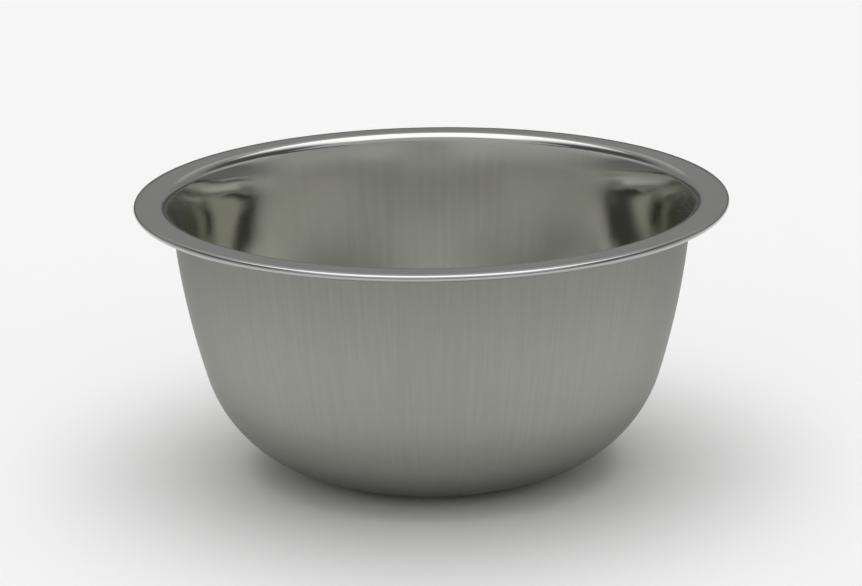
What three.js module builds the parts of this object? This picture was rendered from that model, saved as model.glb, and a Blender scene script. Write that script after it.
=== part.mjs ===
import * as THREE from 'three';

// A round salad bowl pressed from one sheet of stainless steel. The sheet runs from the flat base through a
// large bottom round into a slightly barrelled wall, flares a little under the rim and bends out into a level
// rim, which droops a little at its edge and is rolled under.
// Millimetres, +Z up, with the origin at the middle of the base on the surface that the bowl stands on.

// Driving dimensions
const RIM_DIAMETER = 280; // over the rolled edge
const HEIGHT = 131; // from the table to the top of the rim
const BASE_DIAMETER = 88; // flat that the bowl stands on
const SHEET = 0.6; // thickness of the steel
const BOTTOM_SHARE = 0.6875; // bottom round's inside radius, as a share of the base's distance from the rim
const WALL_SWELL = 380; // inside radius of the wall, seen in section
const FLARE_ROUND = 140; // outside radius where the wall begins to lean out again
const FLARE_LEAN = THREE.MathUtils.degToRad(14.5); // lean of the wall at the top of the flare
const BEND_ROUND = 4.4; // radius under the rim, where the wall turns out
const RIM_FLAT = 7.6; // level strip of the rim, outside the bend
const EDGE_ROUND = 20; // radius in which the rim droops towards its edge
const EDGE_LEAN = THREE.MathUtils.degToRad(8); // droop where the rolled edge begins
const CURL_HOLE = 1.8; // diameter of the hollow inside the rolled edge
const CURL_TURN = THREE.MathUtils.degToRad(285); // how far round the edge is rolled

// Facets
const SIDES = 72; // around the bowl
const BOTTOM_STEPS = 7;
const WALL_STEPS = 3;
const FLARE_STEPS = 2;
const BEND_STEPS = 4;
const EDGE_STEPS = 2;
const CURL_STEPS = 10;

const UP = Math.PI / 2;
const DOWN = -UP;

// Inside radius where the base turns up into the wall, and outside radius of the rolled edge
const bottomRound = (BOTTOM_SHARE * (RIM_DIAMETER - BASE_DIAMETER)) / 2;
const curlOuter = CURL_HOLE / 2 + SHEET;

// Centres of the section's arcs, as radius and height
const edgeReach = EDGE_ROUND - curlOuter;
const edgeCentre = new THREE.Vector2(
  RIM_DIAMETER / 2 - curlOuter - edgeReach * Math.sin(EDGE_LEAN),
  HEIGHT - EDGE_ROUND,
);
const curlCentre = new THREE.Vector2(
  RIM_DIAMETER / 2 - curlOuter,
  edgeCentre.y + edgeReach * Math.cos(EDGE_LEAN),
);
const bendCentre = new THREE.Vector2(edgeCentre.x - RIM_FLAT, HEIGHT - SHEET - BEND_ROUND);
const bottomCentre = new THREE.Vector2(BASE_DIAMETER / 2, SHEET + bottomRound);
const flareReach = FLARE_ROUND - BEND_ROUND;
const flareCentre = new THREE.Vector2(
  bendCentre.x + flareReach * Math.cos(FLARE_LEAN),
  bendCentre.y - flareReach * Math.sin(FLARE_LEAN),
);
const swellCentre = centreAtDistances(
  bottomCentre,
  WALL_SWELL - bottomRound,
  flareCentre,
  WALL_SWELL + SHEET + FLARE_ROUND,
);

// Directions in which one arc touches the next: bottom round, wall, flare and bend, and droop and rolled edge
const wallFoot = directionFrom(swellCentre, bottomCentre);
const wallHead = directionFrom(swellCentre, flareCentre);
const flareHead = Math.PI - FLARE_LEAN;
const edgeHead = UP - EDGE_LEAN;

// The point that lies at the given distances from a and b, on the left of the line from a to b.
function centreAtDistances(a, fromA, b, fromB) {
  const span = b.clone().sub(a);
  const length = span.length();
  const along = (fromA ** 2 - fromB ** 2 + length ** 2) / (2 * length);
  const across = Math.sqrt(fromA ** 2 - along ** 2);
  const forward = span.normalize();
  const left = new THREE.Vector2(-forward.y, forward.x);
  return a.clone().addScaledVector(forward, along).addScaledVector(left, across);
}

function directionFrom(from, to) {
  return Math.atan2(to.y - from.y, to.x - from.x);
}

// Points along an arc, both ends included.
function arc(centre, radius, from, to, steps) {
  const points = [];
  for (let i = 0; i <= steps; i += 1) {
    const angle = from + ((to - from) * i) / steps;
    points.push(new THREE.Vector2(centre.x + radius * Math.cos(angle), centre.y + radius * Math.sin(angle)));
  }
  return points;
}

// One face of the sheet from the base to the rolled edge. depth is 0 on the face inside the bowl, and the
// sheet's thickness on the face outside it.
function sheetFace(depth) {
  const bottom = arc(bottomCentre, bottomRound + depth, DOWN, wallFoot, BOTTOM_STEPS);
  const wall = arc(swellCentre, WALL_SWELL + depth, wallFoot, wallHead, WALL_STEPS);
  const flare = arc(flareCentre, FLARE_ROUND + SHEET - depth, wallHead + Math.PI, flareHead, FLARE_STEPS);
  const bend = arc(bendCentre, BEND_ROUND + SHEET - depth, flareHead, UP, BEND_STEPS);
  const edge = arc(edgeCentre, EDGE_ROUND - depth, UP, edgeHead, EDGE_STEPS);
  const curl = arc(curlCentre, curlOuter - depth, edgeHead, UP - CURL_TURN, CURL_STEPS);
  return [...bottom, ...wall.slice(1), ...flare.slice(1), ...bend.slice(1), ...edge, ...curl.slice(1)];
}

// The whole section: out along the underside, round the sheet's cut edge, and back along the inside.
function bowlSection() {
  const under = sheetFace(SHEET);
  const inside = sheetFace(0).reverse();
  const baseMiddle = new THREE.Vector2(0, 0);
  const floorMiddle = new THREE.Vector2(0, SHEET);
  return [baseMiddle, ...under, ...inside, floorMiddle];
}

function bowlShell() {
  const geometry = new THREE.LatheGeometry(bowlSection(), SIDES);
  const steel = new THREE.MeshStandardMaterial({ color: 0x9a9a94, metalness: 1, roughness: 0.35 });
  const mesh = new THREE.Mesh(geometry, steel);
  mesh.name = 'bowl_shell';
  mesh.rotation.x = UP;
  return mesh;
}

const bowl = new THREE.Group();
bowl.name = 'salad_bowl';
bowl.add(bowlShell());

export default bowl;
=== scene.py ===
"""Salad bowl pressed from one sheet of stainless steel, with the plain studio that it stands in.

The file is laid out as an add-on and run as a script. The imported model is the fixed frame: +Z is up, the
origin is the middle of the base on the table, and lengths are in metres.
"""

import math

import bmesh
import bpy
from mathutils import Matrix, Quaternion, Vector


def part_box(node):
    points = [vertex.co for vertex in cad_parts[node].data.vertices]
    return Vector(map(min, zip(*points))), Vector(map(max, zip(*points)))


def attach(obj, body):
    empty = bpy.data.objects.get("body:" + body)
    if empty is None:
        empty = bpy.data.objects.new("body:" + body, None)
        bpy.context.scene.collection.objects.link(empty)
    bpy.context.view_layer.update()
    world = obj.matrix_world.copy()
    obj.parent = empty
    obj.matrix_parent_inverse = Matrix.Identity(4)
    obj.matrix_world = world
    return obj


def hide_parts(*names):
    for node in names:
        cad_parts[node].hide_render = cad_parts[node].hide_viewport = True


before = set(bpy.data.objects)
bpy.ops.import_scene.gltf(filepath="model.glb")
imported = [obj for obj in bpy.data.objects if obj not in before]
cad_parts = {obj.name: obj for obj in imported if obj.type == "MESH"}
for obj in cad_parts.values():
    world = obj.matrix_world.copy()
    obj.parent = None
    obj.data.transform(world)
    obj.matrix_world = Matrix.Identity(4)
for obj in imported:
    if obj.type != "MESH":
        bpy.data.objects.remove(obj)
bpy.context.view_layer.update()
SHELL_LOW, SHELL_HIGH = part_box("bowl_shell")

bl_info = {
    "name": "Salad bowl",
    "version": (1, 0, 0),
    "blender": (4, 5, 0),
    "location": "View3D > Sidebar > Salad bowl",
    "description": "Presses a steel salad bowl around its packed frame and sets it in a plain studio",
    "category": "Object",
}

# Facets of the pressed sheet
TURN_STEPS = 256
BOTTOM_STEPS = 40
WALL_STEPS = 20
FLARE_STEPS = 8
BEND_STEPS = 16
EDGE_STEPS = 6
CURL_STEPS = 36
MERGE_DISTANCE = 1e-6
SHARP_ANGLE = math.radians(40)

# Material slots of the bowl
OUTSIDE, INSIDE, RIM = range(3)

UP = math.pi / 2
DOWN = -UP


class BowlSizes(bpy.types.PropertyGroup):
    """Sizes of the pressed bowl."""

    rim_diameter: bpy.props.FloatProperty(
        name="Rim diameter",
        description="Diameter over the rolled edge",
        default=round(SHELL_HIGH.x - SHELL_LOW.x, 3),
        subtype="DISTANCE",
        unit="LENGTH",
    )
    height: bpy.props.FloatProperty(
        name="Height",
        description="From the table to the top of the rim",
        default=round(SHELL_HIGH.z - SHELL_LOW.z, 3),
        subtype="DISTANCE",
        unit="LENGTH",
    )
    base_diameter: bpy.props.FloatProperty(
        name="Base diameter",
        description="Diameter of the flat that the bowl stands on",
        default=0.088,
        subtype="DISTANCE",
        unit="LENGTH",
    )
    sheet: bpy.props.FloatProperty(
        name="Sheet",
        description="Thickness of the steel",
        default=0.0006,
        subtype="DISTANCE",
        unit="LENGTH",
    )
    bottom_round: bpy.props.FloatProperty(
        name="Bottom round",
        description="Inside radius where the base turns up into the wall",
        default=0.066,
        subtype="DISTANCE",
        unit="LENGTH",
    )
    wall_swell: bpy.props.FloatProperty(
        name="Wall swell",
        description="Inside radius of the wall, seen in section",
        default=0.38,
        subtype="DISTANCE",
        unit="LENGTH",
    )
    flare_round: bpy.props.FloatProperty(
        name="Flare round",
        description="Outside radius where the wall begins to lean out again",
        default=0.14,
        subtype="DISTANCE",
        unit="LENGTH",
    )
    flare_lean: bpy.props.FloatProperty(
        name="Flare lean",
        description="Lean of the wall at the top of the flare",
        default=math.radians(14.5),
        subtype="ANGLE",
        unit="ROTATION",
    )
    bend_round: bpy.props.FloatProperty(
        name="Bend round",
        description="Radius under the rim, where the wall turns out",
        default=0.0044,
        subtype="DISTANCE",
        unit="LENGTH",
    )
    rim_flat: bpy.props.FloatProperty(
        name="Rim flat",
        description="Width of the level strip of the rim, outside the bend",
        default=0.0076,
        subtype="DISTANCE",
        unit="LENGTH",
    )
    edge_round: bpy.props.FloatProperty(
        name="Edge round",
        description="Radius in which the rim droops towards its edge",
        default=0.02,
        subtype="DISTANCE",
        unit="LENGTH",
    )
    edge_lean: bpy.props.FloatProperty(
        name="Edge lean",
        description="Droop of the rim where the rolled edge begins",
        default=math.radians(8),
        subtype="ANGLE",
        unit="ROTATION",
    )
    curl_hole: bpy.props.FloatProperty(
        name="Curl hole",
        description="Diameter of the hollow inside the rolled edge",
        default=0.0018,
        subtype="DISTANCE",
        unit="LENGTH",
    )
    curl_turn: bpy.props.FloatProperty(
        name="Curl turn",
        description="How far round the edge is rolled",
        default=math.radians(285),
        subtype="ANGLE",
        unit="ROTATION",
    )


class SteelFinish(bpy.types.PropertyGroup):
    """Colours and gloss of the steel."""

    # Darker than the inside partly for its duller satin and partly as painted shade, standing in for the
    # dimmer floor that the wall reflects
    outside_colour: bpy.props.FloatVectorProperty(
        name="Outside colour",
        description="Steel outside the wall, dulled by the draw",
        default=(0.41, 0.408, 0.377),
        subtype="COLOR",
        size=3,
        min=0,
        max=1,
    )
    inside_colour: bpy.props.FloatVectorProperty(
        name="Inside colour",
        description="Steel inside the bowl",
        default=(0.64, 0.643, 0.593),
        subtype="COLOR",
        size=3,
        min=0,
        max=1,
    )
    # Darker than the inside partly for its own finish and partly as painted shade, standing in for the
    # dimmer surroundings that the rim reflects
    rim_colour: bpy.props.FloatVectorProperty(
        name="Rim colour",
        description="Steel of the level rim and the rolled edge",
        default=(0.46, 0.464, 0.449),
        subtype="COLOR",
        size=3,
        min=0,
        max=1,
    )
    outside_roughness: bpy.props.FloatProperty(
        name="Outside roughness",
        description="Satin of the wall's outside",
        default=0.36,
        subtype="FACTOR",
        min=0,
        max=1,
    )
    inside_roughness: bpy.props.FloatProperty(
        name="Inside roughness",
        description="Satin of the inside, seen square on",
        default=0.24,
        subtype="FACTOR",
        min=0,
        max=1,
    )
    rim_roughness: bpy.props.FloatProperty(
        name="Rim roughness",
        description="Satin of the rim",
        default=0.12,
        subtype="FACTOR",
        min=0,
        max=1,
    )


class StudioSettings(bpy.types.PropertyGroup):
    """Floor, light and camera."""

    floor_colour: bpy.props.FloatVectorProperty(
        name="Floor colour",
        description="Matt white of the floor",
        default=(0.97, 0.97, 0.97),
        subtype="COLOR",
        size=3,
        min=0,
        max=1,
    )
    floor_size: bpy.props.FloatProperty(
        name="Floor size",
        description="Side of the square floor",
        default=14.0,
        subtype="DISTANCE",
        unit="LENGTH",
    )
    overhead_level: bpy.props.FloatProperty(
        name="Overhead level",
        description="Brightness of the softbox above the bowl",
        default=2.15,
        min=0,
    )
    front_level: bpy.props.FloatProperty(
        name="Front level",
        description="Brightness of the panel above the camera",
        default=0.65,
        min=0,
    )
    wall_level: bpy.props.FloatProperty(
        name="Wall level",
        description="Brightness of the pale strip of wall around the room",
        default=0.66,
        min=0,
    )
    lens: bpy.props.FloatProperty(
        name="Lens",
        description="Focal length on a sensor 36 mm wide",
        default=150.0,
        subtype="DISTANCE_CAMERA",
        unit="CAMERA",
    )
    camera_distance: bpy.props.FloatProperty(
        name="Camera distance",
        description="From the camera to the point that it aims at",
        default=1.7035,
        subtype="DISTANCE",
        unit="LENGTH",
    )
    camera_elevation: bpy.props.FloatProperty(
        name="Camera elevation",
        description="How far the camera looks down",
        default=math.radians(16.04),
        subtype="ANGLE",
        unit="ROTATION",
    )
    camera_roll: bpy.props.FloatProperty(
        name="Camera roll",
        description="Turn of the camera about its line of sight",
        default=math.radians(-0.89),
        subtype="ANGLE",
        unit="ROTATION",
    )
    camera_aim: bpy.props.FloatVectorProperty(
        name="Camera aim",
        description="Point in the middle of the picture",
        default=(-0.0008, 0.0, 0.0831),
        subtype="XYZ",
        unit="LENGTH",
        size=3,
    )


# Section of the sheet


class SheetArcs:
    """Centres and directions of the arcs that the sheet's section is bent to, as radius and height."""

    def __init__(self, sizes):
        curl_outer = sizes.curl_hole / 2 + sizes.sheet
        edge_reach = sizes.edge_round - curl_outer
        droop = Vector((math.sin(sizes.edge_lean), math.cos(sizes.edge_lean))) * edge_reach
        edge_radius = sizes.rim_diameter / 2 - curl_outer - droop.x
        under_bend = sizes.height - sizes.sheet - sizes.bend_round
        self.edge = Vector((edge_radius, sizes.height - sizes.edge_round))
        self.curl = self.edge + droop
        self.bend = Vector((self.edge.x - sizes.rim_flat, under_bend))
        self.bottom = Vector((sizes.base_diameter / 2, sizes.sheet + sizes.bottom_round))
        lean = Vector((math.cos(sizes.flare_lean), -math.sin(sizes.flare_lean)))
        self.flare = self.bend + lean * (sizes.flare_round - sizes.bend_round)
        self.swell = centre_at_distances(
            self.bottom,
            sizes.wall_swell - sizes.bottom_round,
            self.flare,
            sizes.wall_swell + sizes.sheet + sizes.flare_round,
        )
        self.wall_foot = direction_from(self.swell, self.bottom)
        self.wall_head = direction_from(self.swell, self.flare)
        self.flare_head = math.pi - sizes.flare_lean


def centre_at_distances(a, from_a, b, from_b):
    """The point at the given distances from a and b, on the left of the line from a to b."""
    span = b - a
    along = (from_a**2 - from_b**2 + span.length_squared) / (2 * span.length)
    across = math.sqrt(from_a**2 - along**2)
    forward = span.normalized()
    left = Vector((-forward.y, forward.x))
    return a + forward * along + left * across


def direction_from(start, end):
    return math.atan2(end.y - start.y, end.x - start.x)


class SectionPen:
    """Draws a section in the plane of X and Z, one mesh operator to a stroke."""

    def __init__(self, mesh, radius, height):
        self.mesh = mesh
        self.tip = mesh.verts.new((radius, 0, height))

    def line_to(self, radius, height):
        drawn = bmesh.ops.extrude_vert_indiv(self.mesh, verts=[self.tip])
        end = drawn["verts"][0]
        step = Vector((radius, 0, height)) - end.co
        bmesh.ops.translate(self.mesh, vec=step, verts=[end])
        self.tip = end

    def turn_about(self, centre, angle, steps):
        drawn = bmesh.ops.spin(
            self.mesh,
            geom=[self.tip],
            cent=(centre.x, 0, centre.y),
            axis=(0, -1, 0),
            angle=angle,
            steps=steps,
        )
        self.tip = [item for item in drawn["geom_last"] if isinstance(item, bmesh.types.BMVert)][0]


def draw_section(mesh, sizes):
    """Out along the underside, round the cut edge of the sheet, and back along the inside."""
    arcs = SheetArcs(sizes)
    bottom_turn = arcs.wall_foot - DOWN
    wall_turn = arcs.wall_head - arcs.wall_foot
    flare_turn = arcs.flare_head - (arcs.wall_head + math.pi)
    bend_turn = UP - arcs.flare_head
    curl_turn = sizes.curl_turn - sizes.edge_lean
    cut_angle = UP - sizes.curl_turn
    cut_inner = sizes.curl_hole / 2 + sizes.sheet

    pen = SectionPen(mesh, 0, 0)
    pen.line_to(arcs.bottom.x, 0)
    pen.turn_about(arcs.bottom, bottom_turn, BOTTOM_STEPS)
    pen.turn_about(arcs.swell, wall_turn, WALL_STEPS)
    pen.turn_about(arcs.flare, flare_turn, FLARE_STEPS)
    pen.turn_about(arcs.bend, bend_turn, BEND_STEPS)
    pen.line_to(arcs.edge.x, sizes.height - sizes.sheet)
    pen.turn_about(arcs.edge, -sizes.edge_lean, EDGE_STEPS)
    pen.turn_about(arcs.curl, -curl_turn, CURL_STEPS)
    pen.line_to(
        arcs.curl.x + cut_inner * math.cos(cut_angle),
        arcs.curl.y + cut_inner * math.sin(cut_angle),
    )
    pen.turn_about(arcs.curl, curl_turn, CURL_STEPS)
    pen.turn_about(arcs.edge, sizes.edge_lean, EDGE_STEPS)
    pen.line_to(arcs.bend.x, sizes.height)
    pen.turn_about(arcs.bend, -bend_turn, BEND_STEPS)
    pen.turn_about(arcs.flare, -flare_turn, FLARE_STEPS)
    pen.turn_about(arcs.swell, -wall_turn, WALL_STEPS)
    pen.turn_about(arcs.bottom, -bottom_turn, BOTTOM_STEPS)
    pen.line_to(0, sizes.sheet)
    return arcs


def press_mesh(sizes):
    """The bowl's mesh: its section turned once round the axis."""
    mesh = bmesh.new()
    arcs = draw_section(mesh, sizes)
    bmesh.ops.spin(
        mesh,
        geom=mesh.verts[:] + mesh.edges[:],
        cent=(0, 0, 0),
        axis=(0, 0, 1),
        angle=2 * math.pi,
        steps=TURN_STEPS,
        use_merge=True,
    )
    bmesh.ops.remove_doubles(mesh, verts=mesh.verts[:], dist=MERGE_DISTANCE)
    bmesh.ops.recalc_face_normals(mesh, faces=mesh.faces[:])
    rim_foot = arcs.bend.y + sizes.bend_round * math.sin(sizes.flare_lean)
    for face in mesh.faces:
        face.smooth = True
        middle = face.calc_center_median()
        if middle.z > rim_foot:
            face.material_index = RIM
        else:
            face.material_index = INSIDE if face.normal.z > 0 else OUTSIDE
    data = bpy.data.meshes.new("bowl")
    mesh.to_mesh(data)
    mesh.free()
    data.set_sharp_from_angle(angle=SHARP_ANGLE)
    return data


# Shader building

# Patterns that the steel's three finishes share
LINE_DETAIL = 3.0
GRAIN_DETAIL = 2.0
GRAIN_AROUND = 6
GRAIN_ALONG = 2
PATCH_DETAIL = 3.0
WAVE_DETAIL = 1.0
PATTERN_MIDDLE = 0.5

# Heights between which the bottom's shade gives way to the wall's
BOTTOM_TOP = 0.015
WALL_START = 0.05

# Range of Layer Weight's Facing in which satin steel looks sharper, and the softness of its ends
LOW_ANGLE_FROM = 0.24
LOW_ANGLE_TO = 0.68
LOW_ANGLE_SOFT = 0.09


def add_node(tree, kind, inputs=None, **settings):
    """A new node with its settings and the values of its unlinked inputs."""
    node = tree.nodes.new(kind)
    for name, value in settings.items():
        setattr(node, name, value)
    for name, value in (inputs or {}).items():
        node.inputs[name].default_value = value
    return node


def math_node(tree, operation, first, second=0.0):
    """A Math node whose inputs are sockets or numbers. Returns its output."""
    node = add_node(tree, "ShaderNodeMath", operation=operation)
    for socket, value in zip(node.inputs, (first, second)):
        if isinstance(value, bpy.types.NodeSocket):
            tree.links.new(value, socket)
        else:
            socket.default_value = value
    return node.outputs[0]


def step_node(tree, value, start, end, low=0.0, high=1.0):
    """A smooth step of value from low at start to high at end. Returns its output."""
    node = add_node(
        tree,
        "ShaderNodeMapRange",
        {"From Min": start, "From Max": end, "To Min": low, "To Max": high},
        interpolation_type="SMOOTHSTEP",
    )
    tree.links.new(value, node.inputs["Value"])
    return node.outputs["Result"]


def rise_node(tree, value, edge, soft):
    """Nothing below the edge and one above it, with a soft step. Returns its output."""
    return step_node(tree, value, edge - soft, edge + soft)


def fall_node(tree, value, edge, soft):
    """One below the edge and nothing above it, with a soft step. Returns its output."""
    return step_node(tree, value, edge - soft, edge + soft, 1.0, 0.0)


def band_node(tree, value, low, high, soft):
    """One between low and high and nothing outside them, with soft edges. Returns its output."""
    rise = rise_node(tree, value, low, soft)
    fall = fall_node(tree, value, high, soft)
    return math_node(tree, "MULTIPLY", rise, fall)


def blend(tree, below, above, share):
    """From below to above, sockets or numbers, as share goes from 0 to 1. Returns its output."""
    rest = math_node(tree, "SUBTRACT", 1.0, share)
    return math_node(
        tree,
        "ADD",
        math_node(tree, "MULTIPLY", below, rest),
        math_node(tree, "MULTIPLY", share, above),
    )


def swing(tree, pattern, amount):
    """How far a pattern departs from its middle, times amount. Returns its output."""
    departure = math_node(tree, "SUBTRACT", pattern, PATTERN_MIDDLE)
    return math_node(tree, "MULTIPLY", departure, amount)


def new_group(name, inputs):
    """An empty shader group with float inputs and one float output named Value."""
    tree = bpy.data.node_groups.new(name, "ShaderNodeTree")
    for label in inputs:
        tree.interface.new_socket(label, in_out="INPUT", socket_type="NodeSocketFloat")
    tree.interface.new_socket("Value", in_out="OUTPUT", socket_type="NodeSocketFloat")
    entry = add_node(tree, "NodeGroupInput")
    exit_node = add_node(tree, "NodeGroupOutput")
    return tree, entry, exit_node


def draw_lines_group():
    """Lines that run up the wall as the press draws it, without a seam around the bowl."""
    tree, entry, exit_node = new_group("Draw lines", ("Around", "Along", "Detail"))
    links = tree.links
    place = add_node(tree, "ShaderNodeTexCoord")
    flat = add_node(tree, "ShaderNodeVectorMath", operation="MULTIPLY")
    flat.inputs[1].default_value = (1, 1, 0)
    around = add_node(tree, "ShaderNodeVectorMath", operation="NORMALIZE")
    spread = add_node(tree, "ShaderNodeVectorMath", operation="SCALE")
    split = add_node(tree, "ShaderNodeSeparateXYZ")
    lift = add_node(tree, "ShaderNodeCombineXYZ")
    total = add_node(tree, "ShaderNodeVectorMath", operation="ADD")
    noise = add_node(tree, "ShaderNodeTexNoise", {"Scale": 1.0, "Roughness": 0.6})
    links.new(place.outputs["Object"], flat.inputs[0])
    links.new(flat.outputs[0], around.inputs[0])
    links.new(around.outputs[0], spread.inputs[0])
    links.new(entry.outputs["Around"], spread.inputs["Scale"])
    links.new(place.outputs["Object"], split.inputs[0])
    height = math_node(tree, "MULTIPLY", split.outputs["Z"], entry.outputs["Along"])
    links.new(height, lift.inputs["Z"])
    links.new(spread.outputs[0], total.inputs[0])
    links.new(lift.outputs[0], total.inputs[1])
    links.new(total.outputs[0], noise.inputs["Vector"])
    links.new(entry.outputs["Detail"], noise.inputs["Detail"])
    links.new(noise.outputs["Fac"], exit_node.inputs["Value"])
    return tree


def cloud_group():
    """Soft patches, for smudges and for the slight waves of pressed sheet."""
    tree, entry, exit_node = new_group("Soft patches", ("Scale", "Detail"))
    place = add_node(tree, "ShaderNodeTexCoord")
    noise = add_node(tree, "ShaderNodeTexNoise", {"Roughness": 0.5})
    tree.links.new(place.outputs["Object"], noise.inputs["Vector"])
    tree.links.new(entry.outputs["Scale"], noise.inputs["Scale"])
    tree.links.new(entry.outputs["Detail"], noise.inputs["Detail"])
    tree.links.new(noise.outputs["Fac"], exit_node.inputs["Value"])
    return tree


def place_group(tree, group, **values):
    """A group placed in a material with its own values. Returns its output."""
    node = add_node(tree, "ShaderNodeGroup", node_tree=group)
    for name, value in values.items():
        node.inputs[name].default_value = value
    return node.outputs["Value"]


def steel_material(name, groups, colour, roughness, look):
    """Steel whose colour, gloss and surface vary with the marks and the painted shade that look gives for
    its region.
    """
    material = bpy.data.materials.new(name)
    material.use_nodes = True
    tree = material.node_tree
    links = tree.links
    shader = tree.nodes["Principled BSDF"]
    shader.inputs["Metallic"].default_value = 1.0
    shader.inputs["Anisotropic"].default_value = look["anisotropy"]
    edge_tint = look["edge_tint"]
    shader.inputs["Specular Tint"].default_value = (edge_tint, edge_tint, edge_tint, 1)

    around, along = look["around"], look["along"]
    lines = place_group(tree, groups["lines"], Around=around, Along=along, Detail=LINE_DETAIL)
    grain = place_group(
        tree,
        groups["lines"],
        Around=around * GRAIN_AROUND,
        Along=along * GRAIN_ALONG,
        Detail=GRAIN_DETAIL,
    )
    patches = place_group(tree, groups["patches"], Scale=look["patch_scale"], Detail=PATCH_DETAIL)
    waves = place_group(tree, groups["patches"], Scale=look["wave_scale"], Detail=WAVE_DETAIL)

    # Colour: the base colour, varied along the draw lines, with painted shade towards the top of the wall
    # and at the bottom
    shade = swing(tree, lines, look["line_shade"])
    fine = swing(tree, grain, look["grain_shade"])
    place = add_node(tree, "ShaderNodeTexCoord")
    split = add_node(tree, "ShaderNodeSeparateXYZ")
    links.new(place.outputs["Object"], split.inputs[0])
    height = split.outputs["Z"]
    # Painted shade: the colour darkens towards the top of the wall, standing in for the dimmer reflections
    # there
    drawn = step_node(tree, height, look["top_shade_from"], look["top_shade_to"], 1.0, look["top_painted_shade"])
    # Painted shade: the colour darkens at the bottom, dimming the softbox's reflection there
    bottom = step_node(tree, height, BOTTOM_TOP, WALL_START, look["bottom_painted_shade"], 1.0)
    marks = math_node(tree, "ADD", math_node(tree, "ADD", shade, fine), 1.0)
    level = math_node(tree, "MULTIPLY", marks, math_node(tree, "MULTIPLY", drawn, bottom))
    tint = add_node(tree, "ShaderNodeVectorMath", operation="SCALE")
    tint.inputs[0].default_value = colour
    links.new(level, tint.inputs["Scale"])
    links.new(tint.outputs[0], shader.inputs["Base Color"])

    # Gloss: varies with lines and smudges, and sharpens at a low angle as satin steel does
    facing = add_node(tree, "ShaderNodeLayerWeight", {"Blend": 0.5})
    low_angle = band_node(tree, facing.outputs["Facing"], LOW_ANGLE_FROM, LOW_ANGLE_TO, LOW_ANGLE_SOFT)
    polish = math_node(tree, "MULTIPLY", low_angle, look["low_angle_gloss"])
    matt = swing(tree, patches, look["patch_matt"])
    streak = swing(tree, lines, look["line_matt"])
    satin = math_node(tree, "ADD", math_node(tree, "ADD", matt, streak), roughness)
    links.new(math_node(tree, "SUBTRACT", satin, polish), shader.inputs["Roughness"])

    # Surface: waves of the sheet, and the relief of the lines
    wave_bump = add_node(tree, "ShaderNodeBump", {"Strength": 1.0, "Distance": look["wave_depth"]})
    line_bump = add_node(tree, "ShaderNodeBump", {"Strength": 1.0, "Distance": look["line_depth"]})
    links.new(waves, wave_bump.inputs["Height"])
    links.new(grain, line_bump.inputs["Height"])
    links.new(wave_bump.outputs["Normal"], line_bump.inputs["Normal"])
    links.new(line_bump.outputs["Normal"], shader.inputs["Normal"])

    tangent = add_node(tree, "ShaderNodeTangent", direction_type="RADIAL", axis="Z")
    links.new(tangent.outputs[0], shader.inputs["Tangent"])
    return material


# Looks of the steel by region: shades, matts and gloss are shares, heights and depths are in metres
OUTSIDE_LOOK = {
    "anisotropy": 0.4,
    "edge_tint": 0.63,
    # Painted shade: the outside darkens towards the rim, standing in for the dimmer floor that the upper
    # wall reflects
    "top_shade_from": 0.03,
    "top_shade_to": 0.14,
    "top_painted_shade": 0.6,
    "bottom_painted_shade": 1.0,
    "around": 60.0,
    "along": 20.0,
    "line_shade": 0.2,
    "grain_shade": 0.18,
    "patch_scale": 18.0,
    "patch_matt": 0.07,
    "line_matt": 0.08,
    "wave_scale": 14.0,
    "wave_depth": 0.0004,
    "line_depth": 0.00002,
    "low_angle_gloss": 0.03,
}
INSIDE_LOOK = {
    "anisotropy": 0.3,
    "edge_tint": 0.82,
    # Painted shade: the inside darkens towards the bend under the rim, standing in for the dim reflections
    # there
    "top_shade_from": 0.117,
    "top_shade_to": 0.1285,
    "top_painted_shade": 0.75,
    # Painted shade: the bottom is darker, dimming the softbox's reflection in it
    "bottom_painted_shade": 0.7,
    "around": 45.0,
    "along": 14.0,
    "line_shade": 0.06,
    "grain_shade": 0.06,
    "patch_scale": 18.0,
    "patch_matt": 0.06,
    "line_matt": 0.06,
    "wave_scale": 22.0,
    "wave_depth": 0.0004,
    "line_depth": 0.00001,
    "low_angle_gloss": 0.19,
}
RIM_LOOK = {
    "anisotropy": 0.0,
    "edge_tint": 1.0,
    "top_shade_from": 0.03,
    "top_shade_to": 0.12,
    "top_painted_shade": 1.0,
    "bottom_painted_shade": 1.0,
    "around": 50.0,
    "along": 20.0,
    "line_shade": 0.03,
    "grain_shade": 0.03,
    "patch_scale": 25.0,
    "patch_matt": 0.06,
    "line_matt": 0.03,
    "wave_scale": 45.0,
    "wave_depth": 0.0001,
    "line_depth": 0.000003,
    "low_angle_gloss": 0.0,
}


class SALADBOWL_OT_press_bowl(bpy.types.Operator):
    """Press the bowl from its sheet, finish its steel and put it in the place of the frame's shell"""

    bl_idname = "salad_bowl.press_bowl"
    bl_label = "Press bowl"

    def execute(self, context):
        sizes = context.scene.salad_bowl_sizes
        finish = context.scene.salad_bowl_finish
        groups = {
            "lines": draw_lines_group(),
            "patches": cloud_group(),
        }
        data = press_mesh(sizes)
        finishes = (
            ("satin_outside", finish.outside_colour, finish.outside_roughness, OUTSIDE_LOOK),
            ("satin_inside", finish.inside_colour, finish.inside_roughness, INSIDE_LOOK),
            ("rolled_rim", finish.rim_colour, finish.rim_roughness, RIM_LOOK),
        )
        for name, colour, roughness, look in finishes:
            data.materials.append(steel_material(name, groups, colour, roughness, look))
        bowl = bpy.data.objects.new("bowl", data)
        context.scene.collection.objects.link(bowl)
        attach(bowl, "root")
        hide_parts("bowl_shell")
        return {"FINISHED"}


# Stage

FLOOR_DROP = 0.0001
SENSOR_WIDTH = 36.0

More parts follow.
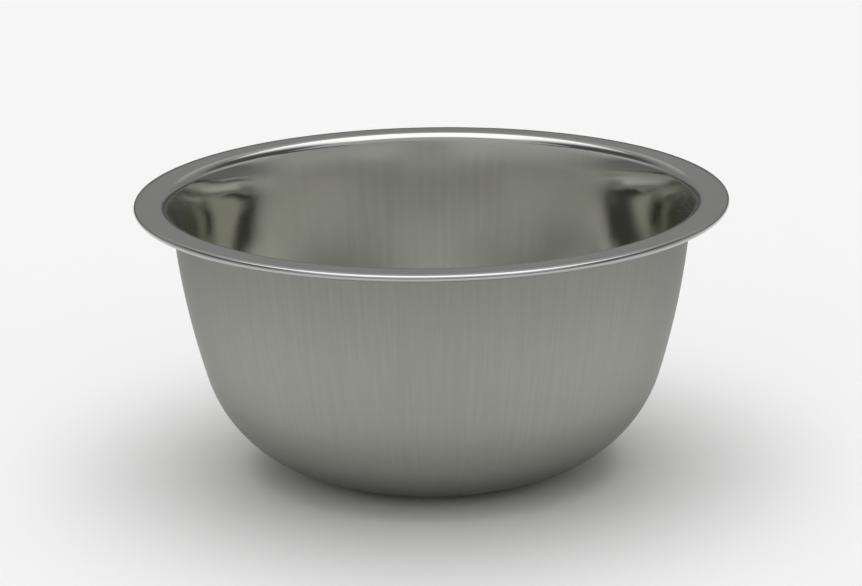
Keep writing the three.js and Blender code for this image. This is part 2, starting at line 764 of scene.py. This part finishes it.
# Levels of the room
HORIZON_LEVEL = 0.11
HORIZON_SIDES = 0.21
WALL_BEHIND = 0.34
UPPER_LEVEL = 0.12
UPPER_BEHIND = 0.6
UPPER_CORNERS = 0.4
FRONT_DIM = 0.27

# Foot and top of the pale strip, and reach of the dim space, as parts of a direction of length one
WALL_FOOT = 0.15
FOOT_BEHIND = 0.185
WALL_TOP = 0.4
TOP_LEFT = 0.35
TOP_RIGHT = 0.285
DIM_HALF = 0.2
DIM_TOP = 0.25
DIM_SOFT = 0.09
EDGE_SOFT = 0.04

# Spans of a direction's X, or of its size to either side, over which the room changes
HORIZON_SPAN = (0.6, 0.9)
CORNER_SPAN = (0.1, 0.5)
TOP_SPAN = (-0.3, 0.5)

# Spans of a direction's Y, from the camera's side to the back, over which the room changes
WALL_DEPTH = (0.15, 0.75)
FOOT_DEPTH = (0.75, 0.95)
UPPER_DEPTH = (0.4, 0.75)
TOP_DEPTH = (-0.35, -0.1)
DIM_DEPTH = (-0.3, -0.1)

# Least upward part that a direction is given, so that even a level one meets the plane overhead
LEAST_RISE = 0.05

# Softbox and front panel, in offsets on a level plane one unit above the bowl
SOFTBOX_SIDE = 0.6
SOFTBOX_SOFT = 0.3
SOFTBOX_FRONT = -0.5
SOFTBOX_BEHIND = 0.8
PANEL_SIDE = 1.6
PANEL_FRONT = -2.6
PANEL_SOFT = 0.08


def lay_floor(context, settings):
    mesh = bmesh.new()
    bmesh.ops.create_grid(mesh, x_segments=1, y_segments=1, size=settings.floor_size / 2)
    bmesh.ops.translate(mesh, vec=(0, 0, -FLOOR_DROP), verts=mesh.verts[:])
    data = bpy.data.meshes.new("floor")
    mesh.to_mesh(data)
    mesh.free()
    material = bpy.data.materials.new("floor_white")
    material.use_nodes = True
    shader = material.node_tree.nodes["Principled BSDF"]
    shader.inputs["Base Color"].default_value = (*settings.floor_colour, 1)
    shader.inputs["Roughness"].default_value = 1.0
    shader.inputs["Specular IOR Level"].default_value = 0.0
    data.materials.append(material)
    floor = bpy.data.objects.new("floor", data)
    context.scene.collection.objects.link(floor)


def wall_levels(tree, x, y, z, settings):
    """Dim horizon, pale strip of wall above it, and the upper walls. Returns the level's output."""
    beside = math_node(tree, "ABSOLUTE", x)
    horizon = step_node(tree, beside, *HORIZON_SPAN, HORIZON_LEVEL, HORIZON_SIDES)
    wall = step_node(tree, y, *WALL_DEPTH, settings.wall_level, WALL_BEHIND)
    foot = step_node(tree, y, *FOOT_DEPTH, WALL_FOOT, FOOT_BEHIND)
    above_foot = rise_node(tree, math_node(tree, "SUBTRACT", z, foot), 0.0, EDGE_SOFT)
    upper_behind = step_node(tree, beside, *CORNER_SPAN, UPPER_BEHIND, UPPER_CORNERS)
    upper = blend(tree, UPPER_LEVEL, upper_behind, step_node(tree, y, *UPPER_DEPTH))
    top_in_front = step_node(tree, x, *TOP_SPAN, TOP_LEFT, TOP_RIGHT)
    top = blend(tree, top_in_front, WALL_TOP, step_node(tree, y, *TOP_DEPTH))
    above_wall = rise_node(tree, math_node(tree, "SUBTRACT", z, top), 0.0, EDGE_SOFT)
    return blend(tree, blend(tree, horizon, wall, above_foot), upper, above_wall)


def dim_space(tree, x, y, z):
    """One in the dim space low down behind the camera, nothing elsewhere. Returns its output."""
    narrow = fall_node(tree, math_node(tree, "ABSOLUTE", x), DIM_HALF, DIM_SOFT)
    low = fall_node(tree, z, DIM_TOP, DIM_SOFT)
    in_front = step_node(tree, y, *DIM_DEPTH, 1.0, 0.0)
    return math_node(tree, "MULTIPLY", math_node(tree, "MULTIPLY", narrow, low), in_front)


def overhead_patch(tree, aside, ahead, side, side_soft, front, behind):
    """One in a rectangle of the level plane overhead, with soft edges. Returns its output."""
    across = fall_node(tree, aside, side, side_soft)
    along = band_node(tree, ahead, front, behind, PANEL_SOFT)
    return math_node(tree, "MULTIPLY", across, along)


def paint_room(context, settings):
    """World light: the walls, a dim space, a panel above the camera and a softbox overhead."""
    world = bpy.data.worlds.new("room")
    world.use_nodes = True
    tree = world.node_tree
    background = tree.nodes["Background"]
    place = add_node(tree, "ShaderNodeTexCoord")
    split = add_node(tree, "ShaderNodeSeparateXYZ")
    tree.links.new(place.outputs["Generated"], split.inputs[0])
    x, y, z = split.outputs

    level = wall_levels(tree, x, y, z, settings)
    level = blend(tree, level, FRONT_DIM, dim_space(tree, x, y, z))

    # Where the direction meets a level plane one unit up
    rise = math_node(tree, "MAXIMUM", z, LEAST_RISE)
    aside = math_node(tree, "ABSOLUTE", math_node(tree, "DIVIDE", x, rise))
    ahead = math_node(tree, "DIVIDE", y, rise)
    panel = overhead_patch(tree, aside, ahead, PANEL_SIDE, PANEL_SOFT, PANEL_FRONT, SOFTBOX_FRONT)
    level = blend(tree, level, settings.front_level, panel)
    softbox = overhead_patch(
        tree, aside, ahead, SOFTBOX_SIDE, SOFTBOX_SOFT, SOFTBOX_FRONT, SOFTBOX_BEHIND
    )
    level = blend(tree, level, settings.overhead_level, softbox)

    tree.links.new(level, background.inputs["Strength"])
    background.inputs["Color"].default_value = (1, 1, 1, 1)
    context.scene.world = world


def place_camera(context, settings):
    data = bpy.data.cameras.new("camera")
    data.lens = settings.lens
    data.sensor_width = SENSOR_WIDTH
    camera = bpy.data.objects.new("camera", data)
    tilt = settings.camera_elevation
    away = Vector((0, -math.cos(tilt), math.sin(tilt)))
    aim = Vector(settings.camera_aim)
    turn = (-away).to_track_quat("-Z", "Y") @ Quaternion((0, 0, 1), settings.camera_roll)
    place = Matrix.Translation(aim + away * settings.camera_distance)
    camera.matrix_world = place @ turn.to_matrix().to_4x4()
    context.scene.collection.objects.link(camera)
    context.scene.camera = camera


class SALADBOWL_OT_set_stage(bpy.types.Operator):
    """Lay the floor, light the room and place the camera"""

    bl_idname = "salad_bowl.set_stage"
    bl_label = "Set stage"

    def execute(self, context):
        settings = context.scene.salad_bowl_studio
        lay_floor(context, settings)
        paint_room(context, settings)
        place_camera(context, settings)
        context.scene.view_settings.view_transform = "Standard"
        return {"FINISHED"}


class SALADBOWL_PT_sidebar(bpy.types.Panel):
    """The bowl's steps and settings"""

    bl_idname = "SALADBOWL_PT_sidebar"
    bl_label = "Salad bowl"
    bl_space_type = "VIEW_3D"
    bl_region_type = "UI"
    bl_category = "Salad bowl"

    def draw(self, context):
        layout = self.layout
        scene = context.scene
        layout.operator(SALADBOWL_OT_press_bowl.bl_idname)
        layout.operator(SALADBOWL_OT_set_stage.bl_idname)
        for settings in (scene.salad_bowl_sizes, scene.salad_bowl_finish, scene.salad_bowl_studio):
            column = layout.column()
            for name in settings.__annotations__:
                column.prop(settings, name)


CLASSES = (
    BowlSizes,
    SteelFinish,
    StudioSettings,
    SALADBOWL_OT_press_bowl,
    SALADBOWL_OT_set_stage,
    SALADBOWL_PT_sidebar,
)


def register():
    for cls in CLASSES:
        bpy.utils.register_class(cls)
    bpy.types.Scene.salad_bowl_sizes = bpy.props.PointerProperty(type=BowlSizes)
    bpy.types.Scene.salad_bowl_finish = bpy.props.PointerProperty(type=SteelFinish)
    bpy.types.Scene.salad_bowl_studio = bpy.props.PointerProperty(type=StudioSettings)


def unregister():
    del bpy.types.Scene.salad_bowl_studio
    del bpy.types.Scene.salad_bowl_finish
    del bpy.types.Scene.salad_bowl_sizes
    for cls in reversed(CLASSES):
        bpy.utils.unregister_class(cls)


def main():
    register()
    bpy.ops.salad_bowl.press_bowl()
    bpy.ops.salad_bowl.set_stage()


if __name__ == "__main__":
    main()
